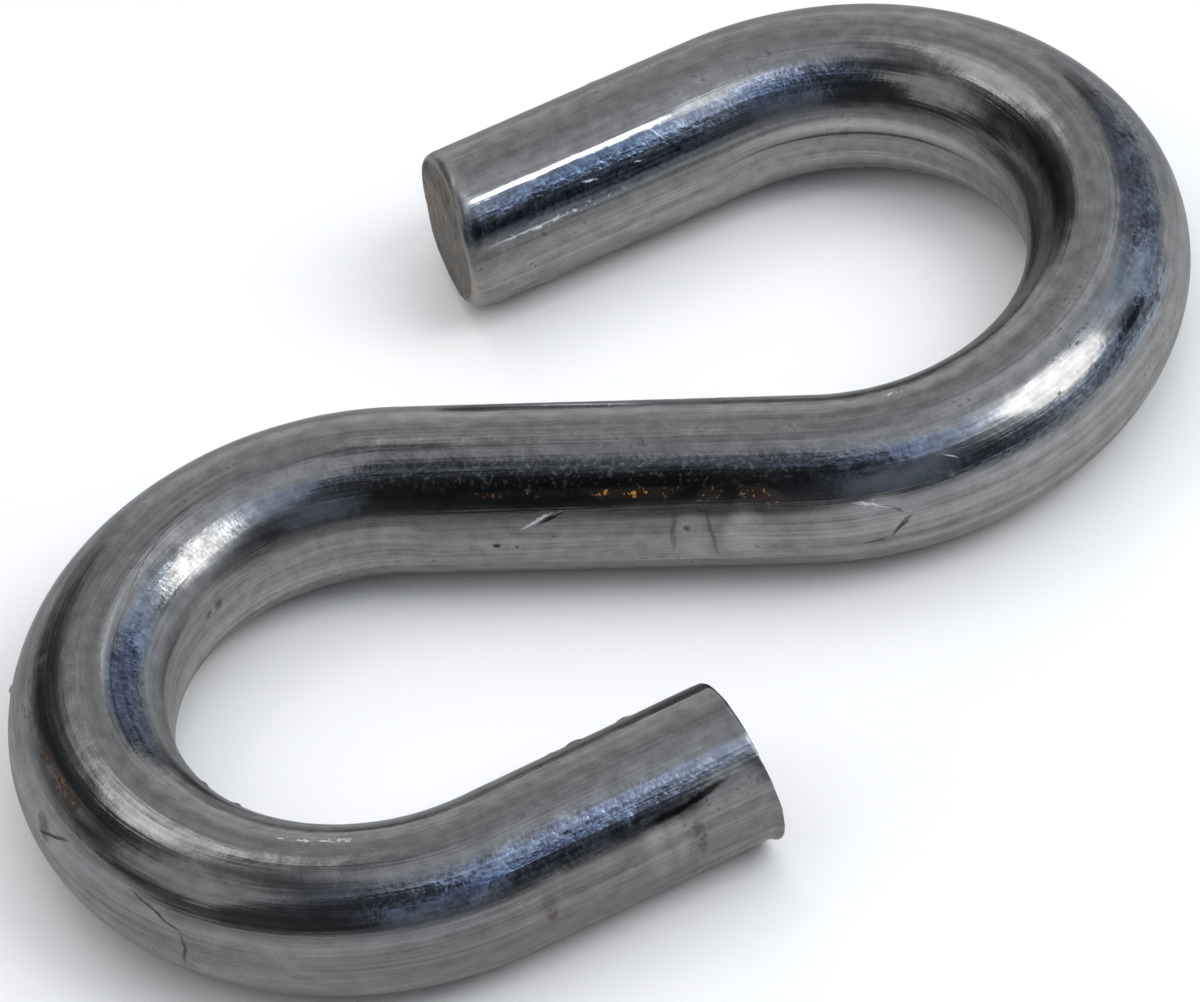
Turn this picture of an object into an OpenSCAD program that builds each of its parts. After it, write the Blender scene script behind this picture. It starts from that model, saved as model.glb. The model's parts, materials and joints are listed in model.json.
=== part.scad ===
// S hook formed from one length of round wire.
// It lies flat: +Z is up, the wire rests on Z = 0, and the line of pull, through
// the centres of both eyes, runs along X. The origin is under the middle of the shank.

/* [Wire] */
// Diameter of the round wire
wire_d = 5; // [3:0.1:7]

/* [Shank] */
// Straight length between the two bends
shank_len = 12.5; // [6:0.5:40]

/* [Bends] */
// Inside radius of the upper bend
upper_eye_r = 5.75; // [4.5:0.05:9]
// Angle that the upper bend turns through
upper_turn = 210.7; // [170:0.1:214]
// Inside radius of the lower bend
lower_eye_r = 5.85; // [4.5:0.05:9]
// Angle that the lower bend turns through
lower_turn = 212.4; // [170:0.1:214]
// How much the wire's radius shrinks where a bend stretches it
bend_thinning = 0.03; // [0.02:0.01:0.1]
// Depth of the flat that the bending pin pressed along the inside of a bend
pin_flat = 0.15; // [0.05:0.01:0.3]

/* [Tips] */
// Straight length of wire past the upper bend
upper_tip_len = 9.1; // [4:0.1:12]
// Straight length of wire past the lower bend
lower_tip_len = 7.95; // [4:0.05:12]

/* [Sheared ends] */
// Radius of the edge that the blade rolled over on the upper tip
upper_roll_r = 0.7; // [0.3:0.05:0.9]
// How far the upper tip's rolled edge leans to its rolled side
upper_roll_lean = 0.28; // [0.05:0.01:0.3]
// Rolled side of the upper tip, as an angle round the wire from the inner side, up being 90
upper_roll_side = -120; // [-180:5:0]
// Radius of the edge that the blade rolled over on the lower tip
lower_roll_r = 0.4; // [0.3:0.05:0.9]
// How far the lower tip's rolled edge leans to its rolled side
lower_roll_lean = 0.12; // [0.05:0.01:0.3]
// Rolled side of the lower tip, measured in the same way
lower_roll_side = -165; // [-180:5:0]
// Height of the burr that was torn out opposite the lower tip's rolled side
burr_h = 0.12; // [0.05:0.01:0.2]
// Length of wire over which the burr flares out
burr_len = 0.6; // [0.3:0.1:1.5]

/* [Smoothness] */
// Number of facets round a full circle
$fn = 96; // [48:4:120]

/* [Hidden] */
wire_r = wire_d / 2;
upper_bend_r = upper_eye_r + wire_r;
lower_bend_r = lower_eye_r + wire_r;
// Angle from the shank to the line of pull
pull_angle = atan2(upper_bend_r + lower_bend_r, shank_len);
// Length by which straight wire runs on into a bend, so that the two are one body
joint = 0.3;
// Gap that keeps the side of an end form clear of the wire it rounds
form_gap = 0.03;
// Length by which a blank or a cutter runs past the face that it makes
over = 1;

// Cylinder with a rounded top edge, which gives a sheared end its form
module end_form(len, r, edge_r) {
    rotate_extrude() {
        square([r - edge_r, len]);
        square([r, len - edge_r]);
        translate([r - edge_r, len - edge_r]) circle(r = edge_r);
    }
}

// Lip that flares out round the end of the wire
module burr(len) {
    flare_h = burr_len + over;
    root_r = wire_r - burr_h;
    translate([0, 0, len - burr_len])
        cylinder(r1 = root_r, r2 = root_r + flare_h * burr_h / burr_len, h = flare_h);
}

// Straight tip along +Z from its bend, with +X on its inner side and +Y up.
// Its end is rolled over on one side, and may carry a burr on the other.
module tip(len, roll_r, lean, roll_side, burred) {
    rotate([0, 0, roll_side]) intersection() {
        union() {
            translate([0, 0, -joint]) cylinder(r = wire_r, h = joint + len + over);
            if (burred) translate([-burr_h, 0, 0]) burr(len);
        }
        translate([-lean, 0, -over]) end_form(over + len, wire_r + lean + form_gap, roll_r);
    }
}

// Bend to the left from the end of the shank, with what follows it drawn where it ends
module bend(bend_r, turn) {
    translate([shank_len / 2, bend_r, 0]) {
        rotate([0, 0, -90]) rotate_extrude(angle = turn)
            translate([bend_r, 0]) circle(r = wire_r - bend_thinning);
        rotate([0, 0, turn - 90]) translate([bend_r, 0, 0]) rotate([90, 0, 180]) children();
    }
}

// Pin that a bend was made round, sunk into the wire by the depth of its flat
module bending_pin(eye_r, bend_r) {
    translate([shank_len / 2, bend_r, 0])
        cylinder(r = eye_r + pin_flat, h = wire_d + 2 * over, center = true);
}

module shank() {
    rotate([0, 90, 0]) cylinder(r = wire_r, h = shank_len + 2 * joint, center = true);
}

module s_hook() {
    color("silver") translate([0, 0, wire_r]) rotate([0, 0, -pull_angle]) difference() {
        union() {
            shank();
            bend(upper_bend_r, upper_turn)
                tip(upper_tip_len, upper_roll_r, upper_roll_lean, upper_roll_side, false);
            rotate([0, 0, 180]) bend(lower_bend_r, lower_turn)
                tip(lower_tip_len, lower_roll_r, lower_roll_lean, lower_roll_side, true);
        }
        bending_pin(upper_eye_r, upper_bend_r);
        rotate([0, 0, 180]) bending_pin(lower_eye_r, lower_bend_r);
    }
}

s_hook();
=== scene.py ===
"""An S hook of zinc-plated round wire, lying flat on a pale floor under soft studio lamps."""

import json
import math

import bpy
from mathutils import Matrix, Quaternion, Vector


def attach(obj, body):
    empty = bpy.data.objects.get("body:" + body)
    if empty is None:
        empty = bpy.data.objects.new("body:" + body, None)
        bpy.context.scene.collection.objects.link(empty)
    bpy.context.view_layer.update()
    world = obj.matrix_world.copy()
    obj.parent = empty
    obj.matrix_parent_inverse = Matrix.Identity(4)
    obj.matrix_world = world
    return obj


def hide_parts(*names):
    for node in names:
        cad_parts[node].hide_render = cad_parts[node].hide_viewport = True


bl_info = {
    "name": "S hook",
    "version": (1, 0, 0),
    "blender": (4, 5, 0),
    "location": "3D View > Sidebar > S hook",
    "description": "Forms a zinc-plated S hook from its wire sizes and sets it in a plain studio",
    "category": "Object",
}

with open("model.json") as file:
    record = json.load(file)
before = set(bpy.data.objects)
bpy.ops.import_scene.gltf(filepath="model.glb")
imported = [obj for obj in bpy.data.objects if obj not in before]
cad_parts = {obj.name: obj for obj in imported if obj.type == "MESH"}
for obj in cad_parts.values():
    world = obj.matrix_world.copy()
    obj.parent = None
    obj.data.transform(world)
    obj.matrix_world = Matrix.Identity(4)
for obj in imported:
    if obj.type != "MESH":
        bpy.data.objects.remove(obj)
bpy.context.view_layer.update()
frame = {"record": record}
MOUNTS = {mount["name"]: mount for mount in frame["record"]["mounts"]}
MM = 0.001
UPPER_TIP = MOUNTS["upper_tip"]["dims"]
LOWER_TIP = MOUNTS["lower_tip"]["dims"]

# Names of what the wire's mesh carries for its finish
PLACE = "wire_place"
CUT = "cut_face"
WORN = "wire_worn"
FLECKED = "wire_flecked"
# This one carries painted shade, the matt plate with its painted light, and the blue tint
PAINTED_LIGHT_AND_TINT = "wire_painted_light_and_tint"
BAKE_MAP = "OFBake"


# ---------------------------------------------------------------- node trees


class Value:
    """One output in a node tree. Arithmetic on it adds the nodes that work it out."""

    def __init__(self, graph, socket):
        self.graph = graph
        self.socket = socket

    def output(self, name):
        """Another output of the same node."""
        return Value(self.graph, self.socket.node.outputs[name])

    def __add__(self, other):
        return self.graph.maths("ADD", self, other)

    def __sub__(self, other):
        return self.graph.maths("SUBTRACT", self, other)

    def __rsub__(self, other):
        return self.graph.maths("SUBTRACT", other, self)

    def __mul__(self, other):
        return self.graph.maths("MULTIPLY", self, other)

    def __truediv__(self, other):
        return self.graph.maths("DIVIDE", self, other)

    def __pow__(self, other):
        return self.graph.maths("POWER", self, other)

    __radd__ = __add__
    __rmul__ = __mul__


class Graph:
    """Adds nodes to one tree, whether it makes a shape or a finish."""

    def __init__(self, tree):
        self.tree = tree

    def node(self, kind, settings=None, sockets=None, output=0):
        """Adds any node. Its settings come first, then the values or links of its sockets."""
        made = self.tree.nodes.new(kind)
        for name, value in (settings or {}).items():
            setattr(made, name, value)
        for key, value in (sockets or {}).items():
            if isinstance(value, Value):
                self.tree.links.new(value.socket, made.inputs[key])
            else:
                made.inputs[key].default_value = value
        return Value(self, made.outputs[output]) if made.outputs else made

    def maths(self, operation, *values, clamped=False):
        settings = {"operation": operation, "use_clamp": clamped}
        return self.node("ShaderNodeMath", settings, dict(enumerate(values)))

    def vector_maths(self, operation, *values):
        return self.node("ShaderNodeVectorMath", {"operation": operation}, dict(enumerate(values)))

    def vector(self, x, y, z):
        return self.node("ShaderNodeCombineXYZ", None, {0: x, 1: y, 2: z})

    def parts(self, vector):
        x = self.node("ShaderNodeSeparateXYZ", None, {0: vector})
        return x, x.output("Y"), x.output("Z")

    def sin(self, angle):
        return self.maths("SINE", angle)

    def cos(self, angle):
        return self.maths("COSINE", angle)

    def lowest(self, a, b):
        return self.maths("MINIMUM", a, b)

    def highest(self, a, b):
        return self.maths("MAXIMUM", a, b)

    def clamp(self, value, low=0.0, high=1.0):
        return self.lowest(self.highest(value, low), high)

    def blend(self, a, b, share):
        """a where share is 0 and b where it is 1."""
        return self.node("ShaderNodeMix", {"data_type": "FLOAT"}, {0: share, 2: a, 3: b})

    def ease(self, value, start, end):
        """A smooth step from 0 at start to 1 at end."""
        return self.node(
            "ShaderNodeMapRange",
            {"interpolation_type": "SMOOTHSTEP"},
            {"Value": value, "From Min": start, "From Max": end, "To Min": 0.0, "To Max": 1.0},
        )

    def noise(self, vector, scale=1.0, detail=2.0, roughness=0.5):
        """Smooth noise, spread either side of 0.5."""
        sockets = {"Vector": vector, "Scale": scale, "Detail": detail, "Roughness": roughness}
        return self.node("ShaderNodeTexNoise", None, sockets)


class WirePlace:
    """A point's place on the straightened wire, in wire diameters.

    along is counted from the lower tip's end. left and up are the point's offsets from the
    wire's middle, to the left of the way along it and upwards.
    """

    def __init__(self, graph, along, left, up):
        self.graph = graph
        self.along = along
        self.left = left
        self.up = up
        self.from_top = graph.maths("ARCTAN2", left, up) * -0.5

    def vector(self, along_scale, across_scale=None):
        """The place as a vector for a pattern, drawn out along the wire by unequal scales."""
        across = along_scale if across_scale is None else across_scale
        scaled = (self.along * along_scale, self.left * across, self.up * across)
        return self.graph.vector(*scaled)

    def round_from(self, degrees):
        """Distance round the wire from the line at this angle, left being 0 and up 90."""
        return self.from_top - math.radians(degrees - 90) / 2

    def spot(self, along, degrees, length, width, turn=0.0):
        """1 in the middle of an oval spot, easing to 0 at its edge."""
        a = self.along - along
        b = self.round_from(degrees)
        if turn:
            c = math.cos(math.radians(turn))
            s = math.sin(math.radians(turn))
            a, b = a * c + b * s, b * c - a * s
        a = a * (2 / length)
        b = b * (2 / width)
        return self.graph.ease(a * a + b * b, 1.0, 0.0)


# ---------------------------------------------------------------- sizes


class HookSizes(bpy.types.PropertyGroup):
    """The sizes that the wire is formed to."""

    wire_radius: bpy.props.FloatProperty(
        name="Wire Radius",
        description="Half the diameter of the round wire",
        default=UPPER_TIP["r_mm"] * MM,
        unit="LENGTH",
    )
    shank_length: bpy.props.FloatProperty(
        name="Shank Length",
        description="Straight length between the two bends",
        default=12.5 * MM,
        unit="LENGTH",
    )
    upper_eye_radius: bpy.props.FloatProperty(
        name="Upper Eye Radius",
        description="Inside radius of the upper bend",
        default=5.75 * MM,
        unit="LENGTH",
    )
    lower_eye_radius: bpy.props.FloatProperty(
        name="Lower Eye Radius",
        description="Inside radius of the lower bend",
        default=5.85 * MM,
        unit="LENGTH",
    )
    upper_turn: bpy.props.FloatProperty(
        name="Upper Turn",
        description="Angle that the upper bend turns through",
        default=math.radians(210.7),
        subtype="ANGLE",
    )
    lower_turn: bpy.props.FloatProperty(
        name="Lower Turn",
        description="Angle that the lower bend turns through",
        default=math.radians(212.4),
        subtype="ANGLE",
    )
    upper_tip_length: bpy.props.FloatProperty(
        name="Upper Tip",
        description="Straight length of wire past the upper bend",
        default=UPPER_TIP["length_mm"] * MM,
        unit="LENGTH",
    )
    lower_tip_length: bpy.props.FloatProperty(
        name="Lower Tip",
        description="Straight length of wire past the lower bend",
        default=LOWER_TIP["length_mm"] * MM,
        unit="LENGTH",
    )
    pin_flat: bpy.props.FloatProperty(
        name="Pin Flat",
        description="Depth of the flat that the bending pin pressed along the inside of a bend",
        default=0.15 * MM,
        unit="LENGTH",
    )
    upper_roll: bpy.props.FloatProperty(
        name="Upper Roll",
        description="Radius of the upper tip's edge where the blade rolled it over",
        default=0.75 * MM,
        unit="LENGTH",
    )
    lower_roll: bpy.props.FloatProperty(
        name="Lower Roll",
        description="Radius of the lower tip's edge where the blade rolled it over",
        default=0.5 * MM,
        unit="LENGTH",
    )
    burr: bpy.props.FloatProperty(
        name="Burr",
        description="Height of the burr torn out on the lower tip",
        default=0.12 * MM,
        unit="LENGTH",
    )
    unevenness: bpy.props.FloatProperty(
        name="Unevenness",
        description="How far the drawn wire's surface wavers",
        default=0.02 * MM,
        unit="LENGTH",
    )
    rings: bpy.props.IntProperty(
        name="Rings",
        description="Rings of points along the wire, from the middle of one end to the other's",
        default=868,
    )
    sides: bpy.props.IntProperty(
        name="Sides",
        description="Points round the wire",
        default=112,
    )


class StudioLevels(bpy.types.PropertyGroup):
    """The floor, the lamps and the camera."""

    floor_colour: bpy.props.FloatVectorProperty(
        name="Floor Colour",
        description="Colour of the pale floor",
        default=(0.86, 0.86, 0.86),
        subtype="COLOR",
    )
    lamp_level: bpy.props.FloatProperty(
        name="Lamp Level",
        description="Brightness of all the panels together",
        default=1.0,
    )
    floor_fill: bpy.props.FloatProperty(
        name="Floor Fill",
        description="Brightness of the wide lamp that only softens the shadow on the floor",
        default=0.70,
    )
    tip_level: bpy.props.FloatProperty(
        name="Tip Lamp Level",
        description="Brightness of the small lamp over the upper tip",
        default=9.5,
    )
    room_level: bpy.props.FloatProperty(
        name="Room Level",
        description="Brightness of the dim room round the lamps",
        default=0.055,
    )
    lens: bpy.props.FloatProperty(
        name="Lens",
        description="Focal length of the camera",
        default=383.6,
        unit="CAMERA",
    )


def own_properties(group):
    """The properties that a group has beyond every group's own two."""
    return [p for p in group.bl_rna.properties if p.identifier not in ("rna_type", "name")]


# ---------------------------------------------------------------- the wire's shape

# Rings of points on each sheared face and on the edge round it
FACE_RINGS = 10
EDGE_RINGS = 7
# Angle round the wire at which the mesh starts, underneath, where its seam isn't seen
SEAM_ANGLE = -90
# Angles round the wire, left being 0 and up 90, at which the blade rolled each end's edge over
LOWER_ROLLED_SIDE = -165
UPPER_ROLLED_SIDE = -88
# Radius of each end's edge where it is sharpest
LOWER_SHARPEST = 0.04 * MM
UPPER_SHARPEST = 0.20 * MM
# How much further the upper end's rolled edge reaches along the wire than across it
UPPER_ROLL_DRAW = 1.7
# Rounding of the edges of the flat that the pin pressed
PIN_FLAT_EDGE = 0.05 * MM
# The bake map's margins, the radius of its discs and how many strips the wire lies in
MAP_GAP = 0.006
MAP_DISC = 0.058
MAP_STRIPS = 2


def wire_inputs(tree):
    """Adds the tree's named inputs and returns {name: socket identifier}."""
    made = {}
    for size in own_properties(HookSizes):
        kind = "NodeSocketInt" if size.type == "INT" else "NodeSocketFloat"
        socket = tree.interface.new_socket(name=size.name, in_out="INPUT", socket_type=kind)
        made[size.name] = socket.identifier
    return made


class WireForm:
    """Works out each point of the wire's skin from its place in a flat grid."""

    def __init__(self, graph, sizes):
        self.g = graph
        self.size = sizes
        flat = graph.parts(graph.node("GeometryNodeInputPosition"))
        self.ring = (flat[0] + 0.5) * (sizes["Rings"] - 1)
        self.share_round = flat[1] + 0.5
        self.angle = math.radians(SEAM_ANGLE) - self.share_round * math.tau
        self.left = graph.cos(self.angle)
        self.up = graph.sin(self.angle)
        self.last = sizes["Rings"] - 1
        self.radius = sizes["Wire Radius"]
        self.diameter = self.radius * 2
        self.half_shank = sizes["Shank Length"] * 0.5
        self.nears_upper = graph.maths("GREATER_THAN", self.ring, self.last * 0.5)
        self.work_out_lengths()
        self.work_out_profile()
        self.is_upper = graph.maths("GREATER_THAN", self.along, 0.0)

    def pick(self, name):
        """A size of the lower or the upper bend, whichever the point belongs to."""
        return self.g.blend(self.size["Lower " + name], self.size["Upper " + name], self.is_upper)

    def reach(self, end):
        """Length of wire from the middle of the shank to one end."""
        bend = (self.size[end + " Eye Radius"] + self.radius) * self.size[end + " Turn"]
        return self.half_shank + bend + self.size[end + " Tip"]

    def work_out_lengths(self):
        self.lower_reach = self.reach("Lower")
        self.upper_reach = self.reach("Upper")
        self.total_length = self.lower_reach + self.upper_reach

    def edge_radius(self, end, rolled_side, sharpest, power):
        """Radius of an end's edge, greatest where it was rolled over and falling off by a power."""
        turned = self.g.cos(self.angle - math.radians(rolled_side))
        share = (turned * 0.5 + 0.5) ** power
        return self.g.blend(sharpest, self.size[end + " Roll"], share)

    def work_out_profile(self):
        """Where the point is along the wire and how far it lies from the middle."""
        g = self.g
        from_last = self.last - self.ring
        lower_edge = self.edge_radius("Lower", LOWER_ROLLED_SIDE, LOWER_SHARPEST, 1.5)
        upper_edge = self.edge_radius("Upper", UPPER_ROLLED_SIDE, UPPER_SHARPEST, 3.0)
        quarter = math.pi / 2 / EDGE_RINGS
        lower_arc = g.clamp(self.ring - FACE_RINGS, 0, EDGE_RINGS) * quarter
        upper_arc = g.clamp(from_last - FACE_RINGS, 0, EDGE_RINGS) * quarter
        lower_in = lower_edge * (1 - g.cos(lower_arc))
        upper_in = upper_edge * UPPER_ROLL_DRAW * (1 - g.cos(upper_arc))
        end_rings = FACE_RINGS + EDGE_RINGS
        self.share_along = g.clamp((self.ring - end_rings) / (self.last - 2 * end_rings))
        start = lower_in - self.lower_reach
        self.along = start + (self.upper_reach - upper_in - start) * self.share_along
        nearest = g.lowest(self.ring, from_last)
        self.share_out = g.clamp(nearest / FACE_RINGS)
        edge = g.blend(lower_edge, upper_edge, self.nears_upper)
        arc = g.lowest(lower_arc, upper_arc)
        self.from_middle = self.share_out * (self.radius - edge) + edge * g.sin(arc)
        self.ring_from_end = nearest
        self.cut = g.ease(nearest, FACE_RINGS + EDGE_RINGS * 0.75, FACE_RINGS - 0.5)

    def place(self):
        """The point's place on the straightened wire."""
        scale = self.from_middle / self.diameter
        along = (self.along + self.lower_reach) / self.diameter
        return WirePlace(self.g, along, self.left * scale, self.up * scale)

    def path(self):
        """The wire's middle line at the point: its two coordinates and its heading."""
        g = self.g
        side = self.is_upper * 2 - 1
        length = g.maths("ABSOLUTE", self.along)
        bend_radius = self.pick("Eye Radius") + self.radius
        turn = self.pick("Turn")
        on_shank = g.lowest(length, self.half_shank)
        heading = g.clamp((length - self.half_shank) / bend_radius, 0, turn)
        past = g.highest(length - self.half_shank - bend_radius * turn, 0)
        sine = g.sin(heading)
        cosine = g.cos(heading)
        x = (on_shank + bend_radius * sine + past * cosine) * side
        y = (bend_radius * (1 - cosine) + past * sine) * side
        self.beside_bend = past + self.half_shank - on_shank
        self.bend_radius = bend_radius
        self.side = side
        return x, y, sine, cosine

    def pin_limit(self):
        """How far the skin may reach towards the inside of the bend, past the pin's flat."""
        g = self.g
        pin = self.bend_radius - self.radius + self.size["Pin Flat"]
        under = g.highest(pin * pin - self.beside_bend * self.beside_bend, 0)
        return self.bend_radius - g.maths("SQRT", under)

    def point(self, relief, end_relief):
        """The point in space, after the skin's relief and the pin's flat."""
        g = self.g
        x, y, sine, cosine = self.path()
        out = self.from_middle + relief
        left = self.left * out
        up = self.up * out
        inward = g.maths("SMOOTH_MIN", left * self.side, self.pin_limit(), PIN_FLAT_EDGE)
        left = inward * self.side
        ahead = end_relief * self.side
        flat_x = x - sine * left + cosine * ahead
        flat_y = y + cosine * left + sine * ahead
        across = self.size["Upper Eye Radius"] + self.size["Lower Eye Radius"] + self.diameter
        pull_angle = g.maths("ARCTAN2", across, self.size["Shank Length"])
        turn_cos = g.cos(pull_angle)
        turn_sin = g.sin(pull_angle)
        return g.vector(
            flat_x * turn_cos + flat_y * turn_sin,
            flat_y * turn_cos - flat_x * turn_sin,
            up + self.radius,
        )

    def bake_map(self):
        """Where each face lies in the map: the wire in two strips, and its ends as discs."""
        g = self.g
        strip = (1 - 2 * MAP_DISC - (MAP_STRIPS + 2) * MAP_GAP) / MAP_STRIPS
        end_rings = FACE_RINGS + EDGE_RINGS
        face_ring = self.on_face(self.ring_from_end)
        is_side = g.maths("GREATER_THAN", face_ring, end_rings)
        row = g.maths("FLOOR", self.on_face(self.share_along) * MAP_STRIPS)
        side_u = MAP_GAP + (self.share_along * MAP_STRIPS - row) * (1 - 2 * MAP_GAP)
        side_v = MAP_GAP + row * (strip + MAP_GAP) + self.share_round * strip
        reach = self.ring_from_end / end_rings * MAP_DISC
        middle_u = MAP_GAP + MAP_DISC + self.is_upper * (2 * MAP_DISC + MAP_GAP)
        middle_v = 1 - MAP_GAP - MAP_DISC
        cap_u = middle_u + reach * self.left
        cap_v = middle_v + reach * self.up
        return g.vector(g.blend(cap_u, side_u, is_side), g.blend(cap_v, side_v, is_side), 0.0)

    def on_face(self, value):
        """The value at the middle of the face, so that all its corners agree."""
        settings = {"data_type": "FLOAT", "domain": "FACE"}
        return self.g.node("GeometryNodeFieldOnDomain", settings, {0: value})


# Every mark says where it is: along the wire in diameters from the lower tip's end, and round it
# in degrees, left being 0 and up 90. Its length and width follow in diameters, and its turn in
# degrees. Dents and pressed marks have their depth in mm at the end
DENTS = (
    (9.62, 176, 0.30, 0.50, 0, 0.04),
    (9.93, 174, 0.26, 0.46, 0, 0.05),
    (10.64, 166, 0.30, 0.30, 0, 0.03),
    (3.60, 20, 0.60, 0.30, 0, 0.04),
    (0.44, 4, 0.60, 0.50, 0, 0.05),
    (0.72, 14, 0.30, 0.30, 0, 0.03),
    (1.40, 12, 0.30, 0.40, 0, 0.04),
    (5.15, 60, 0.18, 0.08, 60, 0.015),
    (12.95, 128, 0.20, 0.08, 20, 0.03),
)

# Small nodules of zinc and burrs that stand up from the skin, with their height in mm
NODULES = (
    (15.10, 23, 2.90, 0.08, 0, 0.05),
    (16.46, 21, 0.20, 0.16, 0, 0.04),
    (15.14, -42, 0.07, 0.08, 0, 0.12),
    (14.98, -39, 0.06, 0.08, 0, 0.14),
    (15.48, -44, 0.06, 0.08, 0, 0.08),
    (0.86, 134, 0.12, 0.09, 0, 0.06),
    (1.02, 130, 0.09, 0.08, 0, 0.04),
    (0.52, 142, 0.10, 0.09, 0, 0.05),
    (2.62, 104, 0.10, 0.05, 0, 0.03),
    (2.85, 101, 0.08, 0.05, 0, 0.03),
    (3.44, 147, 0.07, 0.07, 0, 0.05),
    (3.84, 151, 0.09, 0.07, 0, 0.05),
    (4.54, 168, 0.06, 0.07, 0, 0.09),
    (5.16, 16, 0.05, 0.06, 0, 0.07),
    (17.70, -38, 0.10, 0.07, 0, 0.07),
    (16.75, -34, 0.10, 0.06, 0, 0.04),
    (13.36, 10, 0.07, 0.07, 0, 0.05),
    (12.02, 200, 0.06, 0.06, 0, 0.04),
    (9.15, 205, 0.10, 0.08, 0, 0.04),
)
# Height of the fine grit that is scattered over the skin
GRIT_HEIGHT = 0.04 * MM


def skin_relief(form, place):
    """Height of the skin above true round wire: unevenness, dents and small burrs."""
    g = form.g
    size = form.size["Unevenness"]
    waver = g.noise(place.vector(0.5, 1.8), 1.0, 3.0, 0.55) - 0.5
    ridges = g.noise(place.vector(0.2, 7.0), 1.0, 2.0, 0.55) - 0.5
    lumps = g.noise(place.vector(5.0, 6.0), 1.0, 2.0, 0.6) - 0.5
    relief = (waver * 2.0 + ridges * 0.9 + lumps * 0.8) * size
    grit = g.ease(g.noise(place.vector(6.5), 1.0, 1.0, 0.5), 0.74, 0.88)
    relief = relief + grit * GRIT_HEIGHT
    for *spot, depth in DENTS:
        relief = relief - place.spot(*spot) * (depth * MM)
    for *spot, height in NODULES:
        relief = relief + place.spot(*spot) * (height * MM)
    return relief


# How the plate differs from place to place, with the strength of each mark. Some tables paint light and
# shade, as said at each
SOILED = (
    (13.80, 50, 0.8, 0.12, 0, 0.7),
    (4.26, 54, 0.9, 0.13, 0, 1.1),
    (0.49, 8, 0.12, 0.40, 0, 0.65),
    (1.48, 12, 0.12, 0.44, 0, 0.7),
    (15.35, 8, 3.4, 0.16, 0, 0.4),
    (6.18, 168, 0.16, 0.12, 0, 0.9),
    (6.04, 169, 0.14, 0.10, 0, 0.7),
    (4.22, 22, 0.16, 0.24, -40, 0.7),
    (2.2, 10, 1.6, 0.25, 0, 0.3),
    (17.4, -20, 0.5, 0.12, 0, 0.3),
)
SCUFFED = (
    (0.28, 4, 0.50, 0.62, 0, 0.7),
    (0.72, 16, 0.40, 0.40, 0, 0.9),
    (1.15, 6, 0.50, 0.50, 0, 0.5),
    (9.60, 176, 0.28, 0.50, 0, 0.5),
    (9.91, 174, 0.30, 0.44, 0, 0.9),
    (16.2, 12, 1.2, 0.24, 0, 0.5),
    (18.14, 92, 0.20, 1.3, 0, 1.2),
    (14.4, 76, 1.3, 0.16, 0, 0.9),
    (3.75, 10, 1.0, 0.40, 0, 0.5),
)
SMOOTH = (
    (17.35, 62, 2.0, 0.24, 0, 1.3),
    (9.1, 134, 3.6, 0.32, 0, 0.6),
    (11.7, 126, 2.0, 0.30, 8, 0.7),
)
PITTED = (
    (17.3, 42, 2.4, 0.34, 0, 1.3),
    (1.4, 50, 3.0, 0.36, 0, 1.1),
    (11.5, 146, 1.9, 0.18, 0, 0.7),
    (9.0, 120, 4.2, 0.14, 0, 0.5),
    (15.8, 52, 1.6, 0.30, 0, 0.8),
    (4.8, 124, 1.8, 0.30, 0, 1.2),
    (6.0, 126, 1.8, 0.28, 0, 0.5),
    (13.2, 122, 1.9, 0.34, 0, 1.0),
    (10.6, 126, 1.4, 0.30, 0, 0.5),
    (12.3, 142, 1.2, 0.26, 0, 1.0),
    (1.3, 42, 2.2, 0.16, 0, 0.6),
)
RUSTY = (
    (9.27, 139, 0.72, 0.075, 0, 1.2),
    (9.72, 142, 0.18, 0.10, 0, 1.0),
    (10.04, 143, 0.34, 0.11, 12, 1.1),
    (8.60, 138, 1.1, 0.06, 0, 0.5),
    (4.28, 54, 0.5, 0.09, 0, 0.5),
)
# Painted shade: marks that darken the plate's colour where its reflections are dark
PAINTED_SHADE_MARKS = (
    (9.05, 135, 3.5, 0.30, 0, 0.80),
    (1.2, 0, 4.8, 0.60, 0, 0.50),
    (3.4, 14, 1.4, 0.50, 0, 0.28),
    (14.0, 8, 1.2, 0.30, 0, 0.15),
    (13.3, 56, 2.2, 0.22, 0, 0.60),
    (4.9, 62, 2.2, 0.18, 0, 0.35),
)
# Matt plate, rougher and less metallic, whose colour is also lifted as painted light where its
# reflections are dark
DULL_AND_PAINTED_LIGHT = (
    (0.22, 32, 0.5, 0.34, 0, 1.0),
    (10.0, 50, 8.0, 0.24, 0, 1.0),
    (1.8, 126, 4.6, 0.18, 0, 1.0),
    (4.9, 145, 3.2, 0.24, 0, 1.0),
)
BLUED = (
    (17.2, 41, 2.6, 0.36, 0, 1.0),
    (1.5, 54, 3.6, 0.28, 0, 0.4),
    (11.5, 146, 1.9, 0.18, 0, 0.7),
    (4.8, 122, 1.9, 0.34, 0, 0.9),
    (15.8, 52, 1.5, 0.32, 0, 0.9),
    (13.2, 122, 1.9, 0.36, 0, 0.4),
    (10.5, 124, 1.2, 0.28, 0, 0.5),
    (12.3, 142, 1.2, 0.26, 0, 0.8),
    (1.4, 44, 2.4, 0.18, 0, 0.7),
)
# Plate with white flecks, and a painted glint along the shank's far top edge at 8.92
BARE_AND_GLINTS = (
    (2.62, 103, 0.7, 0.07, 0, 0.9),
    (10.87, 74, 0.16, 0.05, 0, 1.0),
    (17.62, 25, 1.1, 0.05, 0, 1.3),
    (8.92, 61, 0.9, 0.05, 3, 1.0),
    (9.28, 140, 0.7, 0.03, 0, 0.8),
    (9.0, 126, 4.4, 0.22, 0, 0.16),
    (10.60, 155, 0.16, 0.05, 20, 0.8),
)


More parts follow.
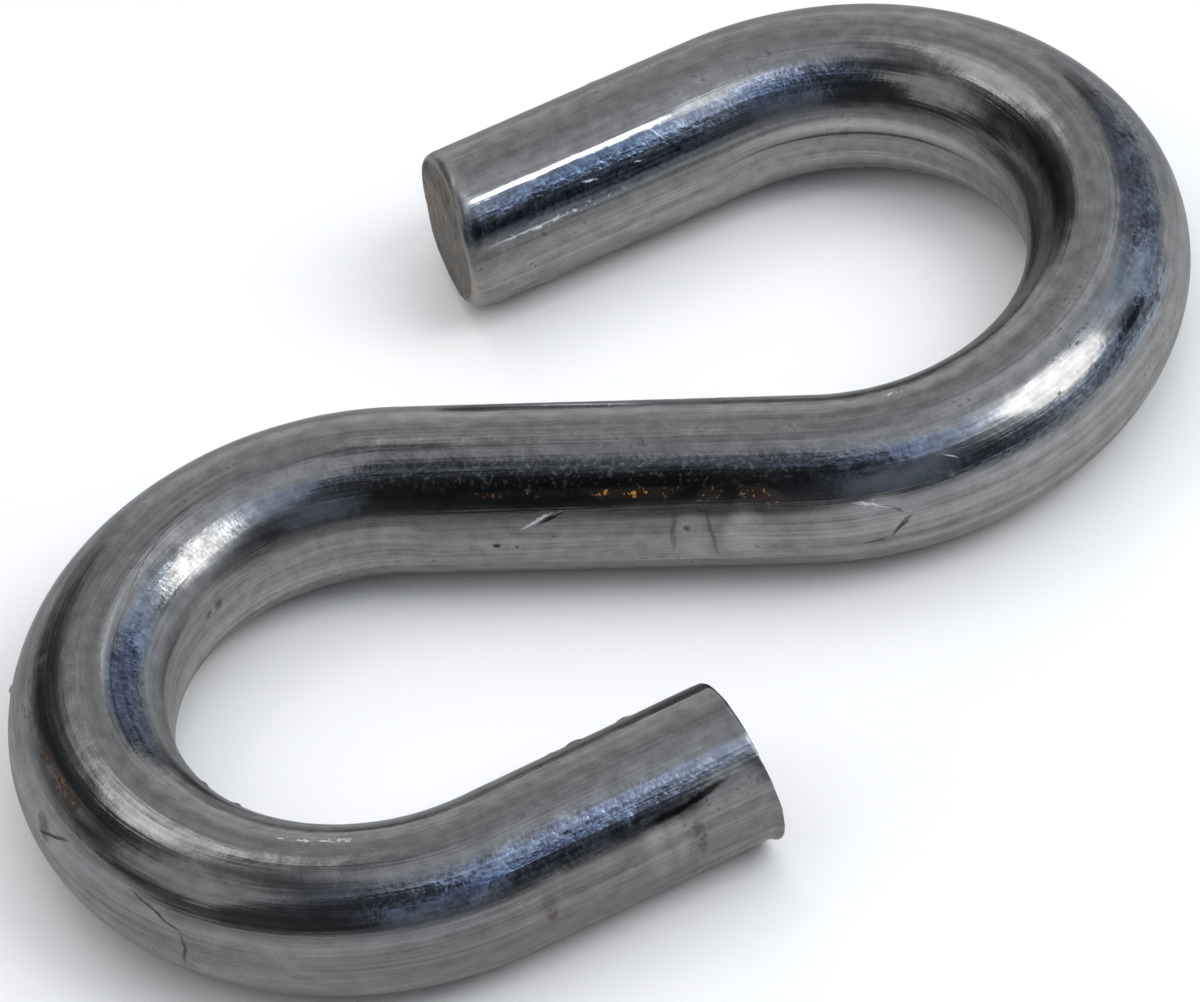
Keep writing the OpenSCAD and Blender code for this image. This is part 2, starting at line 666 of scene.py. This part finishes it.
def wire_marks(form, place, kinds):
    """How strong three kinds of mark are at the point."""
    totals = []
    for marks in kinds:
        total = 0.0
        for *spot, strength in marks:
            total = place.spot(*spot) * strength + total
        totals.append(form.g.clamp(total))
    return form.g.vector(*totals)


# Where the burr's two stretches lie round the lower end
NEAR_BURR_SIDE = -24
FAR_BURR_SIDE = 150
# Heights of the torn faces, of the upper end's heel and hollow and of the lower end's lip
TORN_HEIGHT = 0.14 * MM
HEEL_HEIGHT = 0.44 * MM
HOLLOW_DEPTH = 0.14 * MM
LIP_HEIGHT = 0.10 * MM


def burr_lip(form, place):
    """The lip that flares out round part of the lower tip's end."""
    g = form.g
    flare = g.ease(place.along, 0.06, 0.0)
    near = g.clamp(g.cos(form.angle - math.radians(NEAR_BURR_SIDE)) * 1.8 - 0.8)
    far = g.clamp(g.cos(form.angle - math.radians(FAR_BURR_SIDE)) * 2.5 - 1.5)
    return flare * (near * 1.35 + far * 0.9) * form.size["Burr"]


def end_relief(form, place):
    """How far the ends' torn faces and what is next to them stand out along the wire."""
    g = form.g
    rough = g.noise(place.vector(1.0, 5.0), 1.0, 3.0, 0.6) - 0.5
    torn = rough * form.cut * TORN_HEIGHT
    from_upper = form.total_length / form.diameter - place.along
    near_upper = g.ease(from_upper, 0.8, 0.05)
    heel_side = g.clamp(0.4 + place.left * 1.2 - place.up * 0.9)
    heel = heel_side * near_upper * HEEL_HEIGHT
    top_back = g.clamp(place.up * 1.4 - place.left * 1.4)
    hollow = top_back * near_upper * HOLLOW_DEPTH
    near_lower = g.ease(place.along, 0.5, 0.05)
    lip_side = g.clamp(place.left * 2.2 - place.up * 1.2)
    lip = lip_side * lip_side * near_lower * LIP_HEIGHT
    return torn + heel - hollow + lip


def wire_tree(material):
    """The node tree that forms the wire, and its inputs' identifiers."""
    tree = bpy.data.node_groups.new("form_wire", "GeometryNodeTree")
    inputs = wire_inputs(tree)
    tree.interface.new_socket(name="Wire", in_out="OUTPUT", socket_type="NodeSocketGeometry")
    g = Graph(tree)
    given = g.node("NodeGroupInput")
    sizes = {name: given.output(name) for name in inputs}
    grid = g.node(
        "GeometryNodeMeshGrid",
        None,
        {"Size X": 1.0, "Size Y": 1.0, "Vertices X": sizes["Rings"], "Vertices Y": sizes["Sides"] + 1},
    )
    form = WireForm(g, sizes)
    place = form.place()
    skin = store(g, grid, BAKE_MAP, "FLOAT2", "CORNER", form.bake_map())
    skin = store(g, skin, PLACE, "FLOAT_VECTOR", "POINT", place.vector(1.0))
    skin = store(g, skin, CUT, "FLOAT", "POINT", form.cut)
    worn = wire_marks(form, place, (SOILED, SCUFFED, SMOOTH))
    skin = store(g, skin, WORN, "FLOAT_VECTOR", "POINT", worn)
    flecked = wire_marks(form, place, (PITTED, RUSTY, BARE_AND_GLINTS))
    skin = store(g, skin, FLECKED, "FLOAT_VECTOR", "POINT", flecked)
    tinted = wire_marks(form, place, (PAINTED_SHADE_MARKS, DULL_AND_PAINTED_LIGHT, BLUED))
    skin = store(g, skin, PAINTED_LIGHT_AND_TINT, "FLOAT_VECTOR", "POINT", tinted)
    relief = (skin_relief(form, place) * (1 - form.cut)) + burr_lip(form, place)
    point = form.point(relief * form.share_out, end_relief(form, place))
    skin = g.node("GeometryNodeSetPosition", None, {"Geometry": skin, "Position": point})
    skin = g.node("GeometryNodeMergeByDistance", None, {"Geometry": skin, "Distance": 0.0005 * MM})
    skin = g.node("GeometryNodeSetShadeSmooth", None, {"Geometry": skin})
    skin = g.node("GeometryNodeRealizeInstances", None, {"Geometry": skin})
    skin = g.node("GeometryNodeSetMaterial", None, {"Geometry": skin, "Material": material})
    g.node("NodeGroupOutput", None, {"Wire": skin})
    return tree, inputs


def store(g, geometry, name, kind, domain, value):
    """Keeps a value on the mesh under a name."""
    settings = {"data_type": kind, "domain": domain}
    sockets = {"Geometry": geometry, "Name": name, "Value": value}
    return g.node("GeometryNodeStoreNamedAttribute", settings, sockets)


def plain_mesh(name, tree, values):
    """Runs a tree on an empty mesh and returns an object that holds the result as plain mesh."""
    start = bpy.data.objects.new(name, bpy.data.meshes.new(name))
    bpy.context.scene.collection.objects.link(start)
    modifier = start.modifiers.new("form", "NODES")
    modifier.node_group = tree
    for identifier, value in values.items():
        modifier[identifier] = value
    start.update_tag()
    graph = bpy.context.evaluated_depsgraph_get()
    mesh = bpy.data.meshes.new_from_object(start.evaluated_get(graph), depsgraph=graph)
    start.modifiers.remove(modifier)
    start.data = mesh
    mesh.name = name
    return start


# ---------------------------------------------------------------- the wire's finish

# Finish colours: the plate, a warmer, lighter tint on its lower side that paints the floor's
# reflection, and what soils it. The dark one also paints shade, and the rim's colour is a painted
# highlight
COOL_ZINC = (0.226, 0.227, 0.229, 1)
LOWER_SIDE_REFLECTION_TINT = (0.243, 0.238, 0.228, 1)
BROWN_STAIN = (0.080, 0.046, 0.030, 1)
GRIME_AND_SHADE = (0.028, 0.026, 0.024, 1)
BLUE_ZINC = (0.165, 0.21, 0.28, 1)
RUST = (0.40, 0.19, 0.055, 1)
RUST_BROWN = (0.085, 0.035, 0.014, 1)
TORN_STEEL = (0.180, 0.178, 0.166, 1)
TORN_BROWN = (0.185, 0.145, 0.125, 1)
RIM_HIGHLIGHT = (0.42, 0.41, 0.39, 1)
# Heights in mm of the finish's patterns: on the plate, more of it where it is pitted, and on the
# torn faces
FINE_LINE_HEIGHT = 0.0062
BROAD_LINE_HEIGHT = 0.012
GRAIN_HEIGHT = 0.003
GRAIN_PITS = 0.008
PEEL_HEIGHT = 0.005
PEEL_PITS = 0.003
TORN_GRAIN_HEIGHT = 0.03
TORN_PEEL_HEIGHT = 0.06
# Roughness of the brightest plate and of the torn faces
BRIGHT_ROUGHNESS = 0.19
TORN_ROUGHNESS = 0.5


def colour_mix(g, a, b, share):
    """Colour a where share is 0 and b where it is 1."""
    return g.node("ShaderNodeMix", {"data_type": "RGBA"}, {0: share, 6: a, 7: b}, 2)


# Fine cuts, too thin for the mesh, with their depth in mm and how much darker they leave the plate: the
# darkening paints shade in the cuts, and a negative value paints a highlight on a lit wall
CUTS = (
    (8.68, 158, 0.26, 0.024, -28, 0.04, -1.2),
    (8.76, 156, 0.19, 0.038, -28, 0.05, 1.1),
    (10.60, 155, 0.16, 0.022, 18, 0.03, -0.8),
    (10.72, 177, 0.20, 0.022, -50, 0.05, 0.9),
    (3.40, 25, 0.36, 0.022, 24, 0.04, 0.8),
    (4.14, 24, 0.34, 0.026, -32, 0.05, 0.9),
    (8.42, 177, 0.045, 0.035, 30, 0.05, 1.0),
)
# Strokes that only darken the plate, or brighten it where the last number is negative. Two bright ones
# are painted light: the glint along the shank's far top edge at 8.92 and the highlight along the pin
# flat's lip at 15.2
STROKES = (
    (10.69, 161, 0.20, 0.020, 36, 0.8),
    (10.66, 159, 0.14, 0.016, 30, -0.9),
    (10.58, 187, 0.14, 0.020, -16, 0.9),
    (3.25, 2, 0.030, 0.30, 0, 0.8),
    (11.02, 137, 0.09, 0.010, 50, -0.9),
    (17.03, 40, 0.06, 0.014, 10, -1.0),
    (17.36, 41, 0.12, 0.016, 12, -1.0),
    (16.86, 52, 0.16, 0.012, 55, -0.9),
    (8.54, 179, 0.04, 0.025, 10, 0.8),
    (9.58, 167, 0.05, 0.05, 50, 0.9),
    (6.38, 98, 0.60, 0.010, 0, 0.6),
    (6.02, 104, 0.90, 0.012, -8, 0.55),
    (4.88, 112, 1.70, 0.013, 0, 0.6),
    (5.2, 106, 1.1, 0.035, 0, -0.3),
    (8.92, 59, 0.95, 0.024, 3, -0.9),
    (17.76, 25.5, 0.66, 0.016, 0, -0.9),
    (18.08, 45, 0.10, 0.34, 0, 0.8),
    (2.43, 101, 0.05, 0.014, 0, -1.0),
    (2.58, 102, 0.11, 0.018, 0, -1.0),
    (2.72, 102, 0.10, 0.016, 0, -1.0),
    (2.86, 102, 0.06, 0.014, 0, -1.0),
    (8.76, 170, 0.06, 0.016, 20, 0.7),
    (9.98, 186, 0.05, 0.016, 40, 0.8),
    (10.10, 197, 0.08, 0.014, 0, 0.7),
    (9.38, 194, 0.07, 0.014, -20, 0.7),
    (0.40, 38, 0.46, 0.055, -9, 1.3),
    (0.66, 35, 0.34, 0.060, -3, 1.1),
    (9.49, 170, 0.045, 0.40, 6, 0.5),
    (9.71, 172, 0.040, 0.44, -4, 0.5),
    (9.92, 174, 0.28, 0.50, 0, -0.24),
    (9.60, 176, 0.20, 0.46, 0, -0.12),
    (0.76, 14, 0.18, 0.50, 0, -0.16),
    (0.62, 16, 0.12, 0.46, 0, -0.14),
    (15.2, 16, 2.9, 0.14, 0, -0.75),
    (11.66, 135, 0.04, 0.03, 20, 0.9),
    (11.94, 118, 0.04, 0.03, 0, 0.8),
)


class ZincFinish:
    """The plate's colour, roughness and fine height, from a point's place on the wire."""

    def __init__(self, graph):
        g = graph
        self.g = g
        self.place = WirePlace(g, *g.parts(self.read(PLACE, "Vector")))
        self.cut = self.read(CUT, "Fac")
        self.soiled, self.scuffed, self.smooth = g.parts(self.read(WORN, "Vector"))
        self.pitted, self.rusty, self.bare_and_glints = g.parts(self.read(FLECKED, "Vector"))
        self.tarnish, self.dulled, self.blued = g.parts(self.read(PAINTED_LIGHT_AND_TINT, "Vector"))
        place = self.place
        self.fine_lines = g.noise(place.vector(0.7, 50.0), 1.0, 2.0, 0.6) - 0.5
        self.broad_lines = g.noise(place.vector(0.16, 13.0), 1.0, 2.0, 0.6) - 0.5
        self.grain = g.noise(place.vector(32.0), 1.0, 1.0, 0.6) - 0.5
        self.peel = g.noise(place.vector(9.0, 12.0), 1.0, 0.0, 0.5) - 0.5
        self.patches = g.noise(place.vector(0.7, 2.6), 1.0, 3.0, 0.6)
        self.flecks = g.ease(self.grain, 0.07, 0.16)
        specks = self.grain + self.peel * 0.4 + self.fine_lines * 0.4
        self.rust = self.rusty * g.ease(specks, 0.11, 0.20)
        wandering_along = place.along + self.peel * 0.05
        self.uneven_place = g.vector(wandering_along, place.from_top + self.grain * 0.022, 0.0)
        # Matt plate on the lower sides and at its marks: rougher and less metallic, and below its
        # colour is lifted as painted light
        edge = place.up - place.left * 0.05 + self.patches * 0.10
        edge = edge + self.broad_lines * 0.06 + self.peel * 0.03
        self.dull = g.highest(g.ease(edge, 0.305, 0.245), self.dulled)
        self.work_out_cuts()

    def read(self, name, output):
        return self.g.node("ShaderNodeAttribute", {"attribute_name": name}, None, output)

    def cut_share(self, along, degrees, length, width, turn):
        """1 in the middle of a fine cut, falling to 0 at its edge."""
        g = self.g
        middle = (along, math.radians(degrees - 90) / 2, 0)
        sockets = {
            "Vector": self.uneven_place,
            "Location": middle,
            "Rotation": (0, 0, math.radians(turn)),
            "Scale": (length / 2, width / 2, 1),
        }
        within = g.node("ShaderNodeMapping", {"vector_type": "TEXTURE"}, sockets)
        away = g.vector_maths("DOT_PRODUCT", within, within).output("Value")
        return g.maths("SUBTRACT", 1.0, away, clamped=True)

    def work_out_cuts(self):
        """How deep and how dark the fine cuts are at the point."""
        depth = 0.0
        dark = 0.0
        for *spot, deep, darkness in CUTS:
            share = self.cut_share(*spot)
            depth = self.g.maths("MULTIPLY_ADD", share, deep, depth)
            dark = self.g.maths("MULTIPLY_ADD", share, darkness, dark)
        for *spot, darkness in STROKES:
            dark = self.g.maths("MULTIPLY_ADD", self.cut_share(*spot), darkness, dark)
        self.depth = depth
        self.darkened = self.g.clamp(dark)
        # Brightened holds the white flecks and the painted highlights of the cuts and strokes
        self.brightened = self.g.clamp(self.bare_and_glints * self.flecks - dark)

    def height(self):
        """Height in millimetres of what is too fine for the mesh."""
        g = self.g
        drawn = self.fine_lines * FINE_LINE_HEIGHT + self.broad_lines * BROAD_LINE_HEIGHT
        grain = self.grain * (GRAIN_HEIGHT + self.pitted * GRAIN_PITS)
        peel = self.peel * (PEEL_HEIGHT + self.pitted * PEEL_PITS)
        plate = (drawn + (grain + peel)) * (1 - self.smooth * 0.75) - self.depth
        torn = self.grain * TORN_GRAIN_HEIGHT + self.peel * TORN_PEEL_HEIGHT
        return g.blend(plate, torn, self.cut)

    def roughness(self):
        satin = self.g.ease(self.patches, 0.38, 0.66)
        plate = BRIGHT_ROUGHNESS + satin * 0.07 + self.fine_lines * 0.15 + self.scuffed * 0.16
        plate = plate + self.dull * 0.20 + self.brightened * 0.3
        plate = plate + self.soiled * 0.2 + self.rust * 0.3 - self.smooth * 0.115 - self.pitted * 0.03
        return self.g.clamp(self.g.blend(plate, TORN_ROUGHNESS, self.cut), 0.07, 0.9)

    def colour(self):
        g = self.g
        # Painted reflection: the lower side takes a warmer, slightly lighter tint, standing for the
        # floor it reflects, broken up by patches
        lower_side_reflection = g.ease(self.patches * 0.6 - self.place.up, -0.05, 0.45)
        plate = colour_mix(g, COOL_ZINC, LOWER_SIDE_REFLECTION_TINT, lower_side_reflection)
        plate = colour_mix(g, plate, BLUE_ZINC, self.blued * 0.75)
        mottled = self.grain * (0.35 + self.pitted * 1.6) + self.peel * (0.55 + self.pitted * 0.5)
        lines = self.broad_lines * 0.7 + self.fine_lines * (0.5 + self.pitted * 0.5)
        shade = 1.0 + lines + mottled
        shade = shade + self.scuffed * 0.18
        # Painted light: the matt plate's colour is lifted, with more line contrast
        shade = shade + self.dull * (0.12 + self.fine_lines * 0.6 + self.broad_lines * 0.5)
        # Painted shade darkens the colour here, and the brightened marks lighten it
        shade = shade * (1 - self.tarnish * 0.8) + self.brightened * 1.6
        grey = g.vector(shade, shade, shade)
        plate = g.vector_maths("MULTIPLY", plate, grey)
        stained = g.ease(self.soiled * (1.0 + self.peel * 2.5 + self.grain * 2.5), 0.2, 1.0)
        plate = colour_mix(g, plate, BROWN_STAIN, stained * 0.7)
        smeared = self.rusty * (0.6 + self.peel * 2.0 + self.grain * 1.5)
        plate = colour_mix(g, plate, RUST_BROWN, g.clamp(smeared))
        plate = colour_mix(g, plate, RUST, self.rust)
        # Dirt, and the painted shade of the cuts and strokes
        plate = colour_mix(g, plate, GRIME_AND_SHADE, g.clamp(self.grime() + self.darkened))
        torn = colour_mix(g, TORN_STEEL, TORN_BROWN, g.ease(self.patches + self.peel * 0.5, 0.42, 0.58))
        torn_shade = 0.82 + self.grain * 0.9 + self.peel * 0.7
        torn = g.vector_maths("MULTIPLY", torn, g.vector(torn_shade, torn_shade, torn_shade))
        # The face darkens towards its far upper edge
        far_rim = g.ease(self.place.up * 0.5 - self.place.left * 0.87, 0.38, 0.47)
        torn = colour_mix(g, torn, GRIME_AND_SHADE, far_rim * 0.55)
        ended = colour_mix(g, plate, torn, self.cut)
        # Painted highlight: a light line along the upper end's rim
        rim = self.cut * (1 - self.cut) * 4 * g.ease(self.place.along, 9.0, 10.0)
        return colour_mix(g, ended, RIM_HIGHLIGHT, rim * 0.6)

    def metallic(self):
        """Bright plate is all metal. Rust, dirt and the bloom on matt plate aren't."""
        bright = 1 - self.dull * 0.38 - self.brightened * 0.6
        return self.g.clamp(bright - self.rust * 0.9 - self.rusty * 0.2 - self.soiled * 0.12)

    def grime(self):
        """Dirt in thin lines and pits."""
        g = self.g
        sparse = g.ease(self.patches, 0.54, 0.66)
        dirt = g.ease(self.grain - self.peel * 0.4, -0.17, -0.24) * sparse * 0.45
        seam = self.place.spot(15.35, 7, 2.9, 0.035) * g.ease(self.broad_lines, -0.25, 0.1)
        return dirt + seam * 0.8


def zinc_plate():
    """Bright zinc plate over drawn wire."""
    material = bpy.data.materials.new("zinc_plate")
    material.use_nodes = True
    tree = material.node_tree
    tree.nodes.clear()
    g = Graph(tree)
    finish = ZincFinish(g)
    height = finish.height()
    bump = g.node("ShaderNodeBump", None, {"Strength": 1.0, "Distance": MM, "Height": height})
    surface = g.node(
        "ShaderNodeBsdfPrincipled",
        None,
        {
            "Base Color": finish.colour(),
            "Metallic": finish.metallic(),
            "Roughness": finish.roughness(),
            "Specular Tint": (0.5, 0.5, 0.5, 1),
            "Normal": bump,
        },
    )
    g.node("ShaderNodeOutputMaterial", None, {"Surface": surface})
    return material


class FormWire(bpy.types.Operator):
    """Form the hook from one length of wire and plate it with zinc"""

    bl_idname = "s_hook.form_wire"
    bl_label = "Form Wire"
    bl_options = {"REGISTER", "UNDO"}

    def execute(self, context):
        sizes = context.scene.s_hook_sizes
        tree, inputs = wire_tree(zinc_plate())
        values = {inputs[p.name]: getattr(sizes, p.identifier) for p in own_properties(sizes)}
        wire = plain_mesh("hook_wire", tree, values)
        if not wire.data.polygons:
            raise RuntimeError("the wire came out with no faces")
        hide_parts("s_hook")
        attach(wire, "root")
        return {"FINISHED"}


# ---------------------------------------------------------------- the studio

# The floor's diameter and the rise of its rim in metres, and how much of its radius is flat
FLOOR_SIZE = 2.4
FLOOR_RIM = 0.24
FLAT_SHARE = 0.6
FLOOR_RINGS = 24
FLOOR_SIDES = 64
ROOM_COLOUR = (0.92, 0.97, 1.08, 1)
# The camera's direction from its aim and its roll in degrees, and its distance in metres
CAMERA_AZIMUTH = -129.535
CAMERA_ELEVATION = 46.015
CAMERA_DISTANCE = 0.38125
CAMERA_ROLL = -11.328
CAMERA_AIM = (-0.623 * MM, -0.288 * MM, 2.5 * MM)

# Soft panels: name, azimuth from +X and elevation in degrees, distance, width and height in
# metres, brightness of its face, and its colour
PANELS = (
    ("key", -55, 45.5, 0.40, 0.21, 0.26, 4.0, (1.0, 0.98, 0.94)),
    ("key_glow", -57, 40, 0.42, 0.35, 0.40, 0.56, (0.88, 0.98, 1.12)),
    ("overhead", -20, 80, 0.60, 0.34, 0.42, 0.78, (0.97, 1.0, 1.06)),
    ("front", -88, 61, 0.60, 0.28, 0.24, 0.78, (0.76, 0.98, 1.36)),
    ("front_low", -122, 34, 0.60, 0.34, 0.34, 0.23, (0.82, 0.96, 1.25)),
    ("front_left", -140, 72, 0.60, 0.34, 0.10, 0.26, (0.82, 0.98, 1.28)),
    ("back", 48, 16, 0.60, 0.44, 0.36, 0.88, (1.0, 1.0, 0.99)),
    ("back_high", 48, 45, 0.60, 0.42, 0.22, 0.62, (1.0, 1.0, 1.0)),
    ("back_top", 42, 63, 0.60, 0.30, 0.12, 0.56, (0.98, 1.0, 1.04)),
    ("back_strip", 88, 57, 0.60, 0.28, 0.13, 2.4, (1.0, 0.99, 0.96)),
    ("side", 154, 45, 0.60, 0.32, 0.40, 0.66, (1.0, 0.99, 0.98)),
    ("grey_right", 10, 55, 0.60, 0.22, 0.24, 0.74, (0.98, 1.0, 1.03)),
    ("blue_right", -18, 34, 0.60, 0.21, 0.50, 0.76, (0.8, 0.99, 1.25)),
    ("dim_right", 8, 28, 0.60, 0.24, 0.38, 0.28, (0.88, 1.0, 1.3)),
)
ROUND_PANELS = ("key", "key_glow")
# The wide lamp overhead: azimuth, elevation, distance, width and height
SKY_FILL = (90, 84, 1.6, 4.0, 4.0)
# A small lamp close over the upper tip: where it hangs, its length and width in metres, and how
# far it is turned in its own plane to lie along the tip
TIP_LAMP_OVER = (7.3 * MM, 8.8 * MM, 4.7 * MM)
TIP_LAMP_TOWARDS = (-72.7, 69.9, 0.060)
TIP_LAMP_SIZE = (0.0084, 0.0080)
TIP_LAMP_ROLL = -35
# Full angle of its beam, which keeps it off the rest of the hook
TIP_LAMP_SPREAD = math.radians(30)


def direction(azimuth, elevation):
    """Unit vector towards an azimuth from +X and an elevation, both in degrees."""
    a = math.radians(azimuth)
    e = math.radians(elevation)
    return Vector((math.cos(a) * math.cos(e), math.sin(a) * math.cos(e), math.sin(e)))


def panel(name, azimuth, elevation, distance, width, height, level, colour):
    """A flat lamp that faces the origin, whose face shows at the given level."""
    lamp = bpy.data.lights.new(name, "AREA")
    is_round = name in ROUND_PANELS
    lamp.shape = "ELLIPSE" if is_round else "RECTANGLE"
    lamp.size = width
    lamp.size_y = height
    area = width * height * (math.pi / 4 if is_round else 1)
    lamp.energy = level * math.pi * area
    lamp.color = colour
    holder = bpy.data.objects.new(name, lamp)
    towards = direction(azimuth, elevation)
    holder.location = towards * distance
    holder.rotation_mode = "QUATERNION"
    holder.rotation_quaternion = towards.to_track_quat("Z", "Y")
    bpy.context.scene.collection.objects.link(holder)
    return holder


def tip_lamp(level):
    """The lamp that draws the crisp highlight along the upper tip."""
    half = TIP_LAMP_SPREAD / 2
    gain = math.tan(half) / (math.tan(half) - half)
    holder = panel("tip_lamp", *TIP_LAMP_TOWARDS, *TIP_LAMP_SIZE, level / gain, (1.0, 1.0, 1.0))
    holder.data.spread = TIP_LAMP_SPREAD
    holder.location += Vector(TIP_LAMP_OVER)
    holder.rotation_quaternion @= Quaternion((0, 0, 1), math.radians(TIP_LAMP_ROLL))


def sky_fill(level):
    """A wide lamp overhead that lightens the shadow and leaves no reflection of its own."""
    holder = panel("sky_fill", *SKY_FILL, level, (1.0, 1.0, 1.0))
    holder.visible_glossy = False


def make_floor(colour):
    """A pale floor that curves up far from the hook, so that it is all a low view shows."""
    points = [(0.0, 0.0, 0.0)]
    faces = []
    for i in range(1, FLOOR_RINGS + 1):
        share = i / FLOOR_RINGS
        radius = share * FLOOR_SIZE / 2
        rise = FLOOR_RIM * max(0.0, (share - FLAT_SHARE) / (1 - FLAT_SHARE)) ** 2
        for k in range(FLOOR_SIDES):
            turn = k * math.tau / FLOOR_SIDES
            points.append((radius * math.cos(turn), radius * math.sin(turn), rise))
    for k in range(FLOOR_SIDES):
        faces.append((0, 1 + k, 1 + (k + 1) % FLOOR_SIDES))
    for i in range(FLOOR_RINGS - 1):
        for k in range(FLOOR_SIDES):
            a = 1 + i * FLOOR_SIDES + k
            b = 1 + i * FLOOR_SIDES + (k + 1) % FLOOR_SIDES
            faces.append((a, a + FLOOR_SIDES, b + FLOOR_SIDES, b))
    mesh = bpy.data.meshes.new("floor")
    mesh.from_pydata(points, [], faces)
    mesh.shade_smooth()
    material = bpy.data.materials.new("floor_paper")
    material.use_nodes = True
    surface = material.node_tree.nodes["Principled BSDF"]
    surface.inputs["Base Color"].default_value = (*colour, 1)
    surface.inputs["Roughness"].default_value = 0.9
    surface.inputs["Specular IOR Level"].default_value = 0.0
    mesh.materials.append(material)
    floor = bpy.data.objects.new("floor", mesh)
    bpy.context.scene.collection.objects.link(floor)


def make_room(level):
    """The dim light that comes from everywhere round the lamps."""
    world = bpy.data.worlds.new("dim_room")
    world.use_nodes = True
    background = world.node_tree.nodes["Background"]
    background.inputs["Color"].default_value = ROOM_COLOUR
    background.inputs["Strength"].default_value = level
    bpy.context.scene.world = world


def make_camera(lens):
    """The camera that the hook is looked at through."""
    camera = bpy.data.cameras.new("camera")
    camera.lens = lens
    camera.sensor_width = 36
    camera.clip_start = 0.01
    camera.clip_end = 10
    holder = bpy.data.objects.new("camera", camera)
    back = direction(CAMERA_AZIMUTH, CAMERA_ELEVATION)
    level = back.to_track_quat("Z", "Y").to_matrix()
    roll = Matrix.Rotation(math.radians(CAMERA_ROLL), 3, "Z")
    place = (level @ roll).to_4x4()
    place.translation = Vector(CAMERA_AIM) + back * CAMERA_DISTANCE
    holder.matrix_world = place
    bpy.context.scene.collection.objects.link(holder)
    bpy.context.scene.camera = holder


class SetStage(bpy.types.Operator):
    """Lay the pale floor and set the lamps, the room and the camera"""

    bl_idname = "s_hook.set_stage"
    bl_label = "Set Stage"
    bl_options = {"REGISTER", "UNDO"}

    def execute(self, context):
        levels = context.scene.s_hook_studio
        make_floor(levels.floor_colour)
        for name, azimuth, elevation, distance, width, height, level, colour in PANELS:
            panel(name, azimuth, elevation, distance, width, height, level * levels.lamp_level, colour)
        tip_lamp(levels.tip_level)
        sky_fill(levels.floor_fill)
        make_room(levels.room_level)
        make_camera(levels.lens)
        context.scene.view_settings.view_transform = "Standard"
        return {"FINISHED"}


# ---------------------------------------------------------------- the add-on


class HookPanel(bpy.types.Panel):
    """The hook's sizes and its studio, in the sidebar"""

    bl_idname = "VIEW3D_PT_s_hook"
    bl_label = "S hook"
    bl_space_type = "VIEW_3D"
    bl_region_type = "UI"
    bl_category = "S hook"

    def draw(self, context):
        for group, operator in (
            (context.scene.s_hook_sizes, FormWire.bl_idname),
            (context.scene.s_hook_studio, SetStage.bl_idname),
        ):
            box = self.layout.box()
            for item in own_properties(group):
                box.prop(group, item.identifier)
            box.operator(operator)


CLASSES = (HookSizes, StudioLevels, FormWire, SetStage, HookPanel)


def register():
    for cls in CLASSES:
        bpy.utils.register_class(cls)
    bpy.types.Scene.s_hook_sizes = bpy.props.PointerProperty(type=HookSizes)
    bpy.types.Scene.s_hook_studio = bpy.props.PointerProperty(type=StudioLevels)


def unregister():
    del bpy.types.Scene.s_hook_studio
    del bpy.types.Scene.s_hook_sizes
    for cls in reversed(CLASSES):
        bpy.utils.unregister_class(cls)


def main():
    register()
    bpy.ops.s_hook.form_wire()
    bpy.ops.s_hook.set_stage()


if __name__ == "__main__":
    main()
